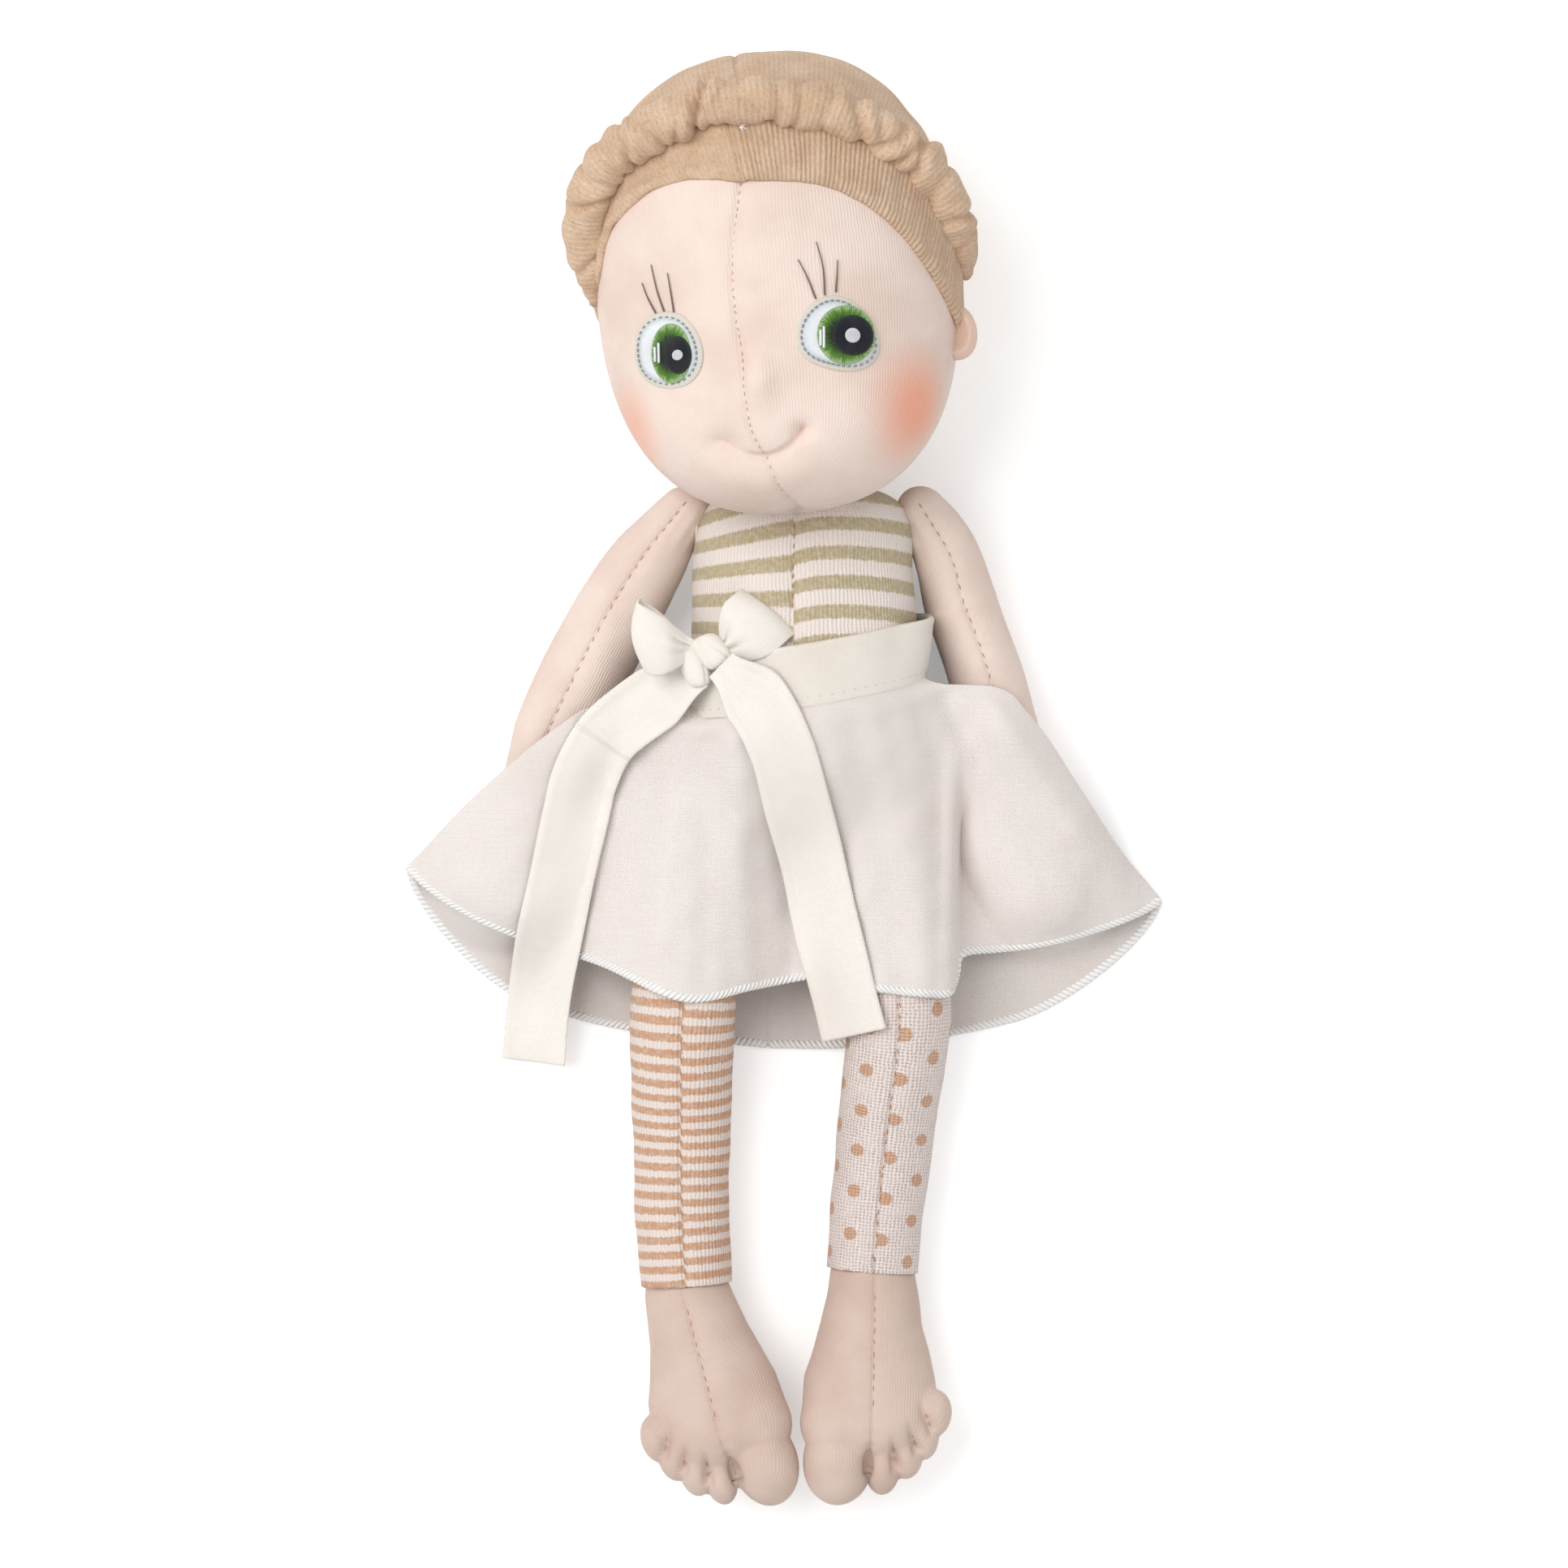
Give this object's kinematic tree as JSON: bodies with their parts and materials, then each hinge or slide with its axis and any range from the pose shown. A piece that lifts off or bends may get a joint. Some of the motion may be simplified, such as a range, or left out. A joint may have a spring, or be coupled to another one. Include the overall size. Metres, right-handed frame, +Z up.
{
  "type": "stuffed rag doll",
  "caption": "Stuffed cloth doll lying on its back, with a gathered velour hair roll, sewn eyes, jersey limbs and a wrap skirt tied with a side bow.",
  "frame": {"origin": "middle of the bounding box's underside, on the surface that the doll lies on", "axes": "+X to the doll's own left, +Y along the body to the top of the head, +Z up out of the chest"},
  "size_m": [0.1868, 0.3506, 0.0814],
  "materials": {
    "skin_jersey": "matt",
    "hair_velour": "matt",
    "striped_jersey": "matt",
    "striped_leg_knit": "matt",
    "dotted_leg_knit": "matt",
    "cream_cotton": "matt",
    "eye_satin": "satin",
    "wool_filling": "matt"
  },
  "bodies": {
    "torso": {"torso_front_right_panel": "striped_jersey", "torso_front_left_panel": "striped_jersey", "torso_back_panel": "striped_jersey", "torso_filling": "wool_filling", "waistband": "cream_cotton", "skirt_front_right": "cream_cotton", "skirt_back_right": "cream_cotton", "skirt_front_left": "cream_cotton", "skirt_back_left": "cream_cotton", "bow_knot": "cream_cotton", "bow_loop_right": "cream_cotton", "sash_tail_right": "cream_cotton", "bow_loop_left": "cream_cotton", "sash_tail_left": "cream_cotton"},
    "neck": {"neck": "skin_jersey"},
    "head": {"face_right_panel": "skin_jersey", "face_left_panel": "skin_jersey", "hair_band_right": "hair_velour", "hair_band_left": "hair_velour", "hair_back": "hair_velour", "head_filling": "wool_filling", "hair_roll": "hair_velour", "ear_right": "skin_jersey", "eye_right": "eye_satin", "ear_left": "skin_jersey", "eye_left": "eye_satin"},
    "arm_tab_right": {"arm_tab_right": "skin_jersey"},
    "arm_right": {"arm_outer_panel_right": "skin_jersey", "arm_inner_panel_right": "skin_jersey", "arm_filling_right": "wool_filling"},
    "arm_tab_left": {"arm_tab_left": "skin_jersey"},
    "arm_left": {"arm_outer_panel_left": "skin_jersey", "arm_inner_panel_left": "skin_jersey", "arm_filling_left": "wool_filling"},
    "leg_right": {"leg_outer_panel_right": "striped_leg_knit", "leg_inner_panel_right": "striped_leg_knit", "leg_filling_right": "wool_filling"},
    "foot_right": {"foot_outer_panel_right": "skin_jersey", "foot_inner_panel_right": "skin_jersey", "foot_filling_right": "wool_filling"},
    "leg_left": {"leg_outer_panel_left": "dotted_leg_knit", "leg_inner_panel_left": "dotted_leg_knit", "leg_filling_left": "wool_filling"},
    "foot_left": {"foot_outer_panel_left": "skin_jersey", "foot_inner_panel_left": "skin_jersey", "foot_filling_left": "wool_filling"}
  },
  "joints": [
    {"name": "neck_nod", "type": "hinge", "parent": "torso", "child": "neck", "pos_m": [0.002, 0.07689, 0.022], "axis": [1, 0, 0], "range_deg": [-5, 14]},
    {"name": "head_turn", "type": "hinge", "parent": "neck", "child": "head", "pos_m": [0.002, 0.07689, 0.022], "axis": [0, 1, 0], "range_deg": [-30, 30]},
    {"name": "shoulder_raise_right", "type": "hinge", "parent": "torso", "child": "arm_tab_right", "pos_m": [-0.0265, 0.06289, 0.018], "axis": [-1, 0, 0], "range_deg": [0, 85]},
    {"name": "shoulder_spread_right", "type": "hinge", "parent": "arm_tab_right", "child": "arm_right", "pos_m": [-0.0265, 0.06289, 0.018], "axis": [0, 0, -1], "range_deg": [0, 70]},
    {"name": "hip_right", "type": "hinge", "parent": "torso", "child": "leg_right", "pos_m": [-0.0195, -0.00711, 0.0146], "axis": [-1, 0, 0], "range_deg": [0, 90], "deforming": ["skirt_front_right", "skirt_back_right", "sash_tail_right"]},
    {"name": "ankle_right", "type": "hinge", "parent": "leg_right", "child": "foot_right", "pos_m": [-0.0236, -0.12561, 0.0114], "axis": [1, 0, 0], "range_deg": [-15, 20]},
    {"name": "shoulder_raise_left", "type": "hinge", "parent": "torso", "child": "arm_tab_left", "pos_m": [0.0343, 0.06289, 0.018], "axis": [-1, 0, 0], "range_deg": [0, 85]},
    {"name": "shoulder_spread_left", "type": "hinge", "parent": "arm_tab_left", "child": "arm_left", "pos_m": [0.0343, 0.06289, 0.018], "axis": [0, 0, 1], "range_deg": [0, 70]},
    {"name": "hip_left", "type": "hinge", "parent": "torso", "child": "leg_left", "pos_m": [0.0228, -0.00711, 0.0146], "axis": [-1, 0, 0], "range_deg": [0, 90], "deforming": ["skirt_front_left", "skirt_back_left", "sash_tail_left"]},
    {"name": "ankle_left", "type": "hinge", "parent": "leg_left", "child": "foot_left", "pos_m": [0.0217, -0.12211, 0.0114], "axis": [1, 0, 0], "range_deg": [-15, 20]}
  ]
}
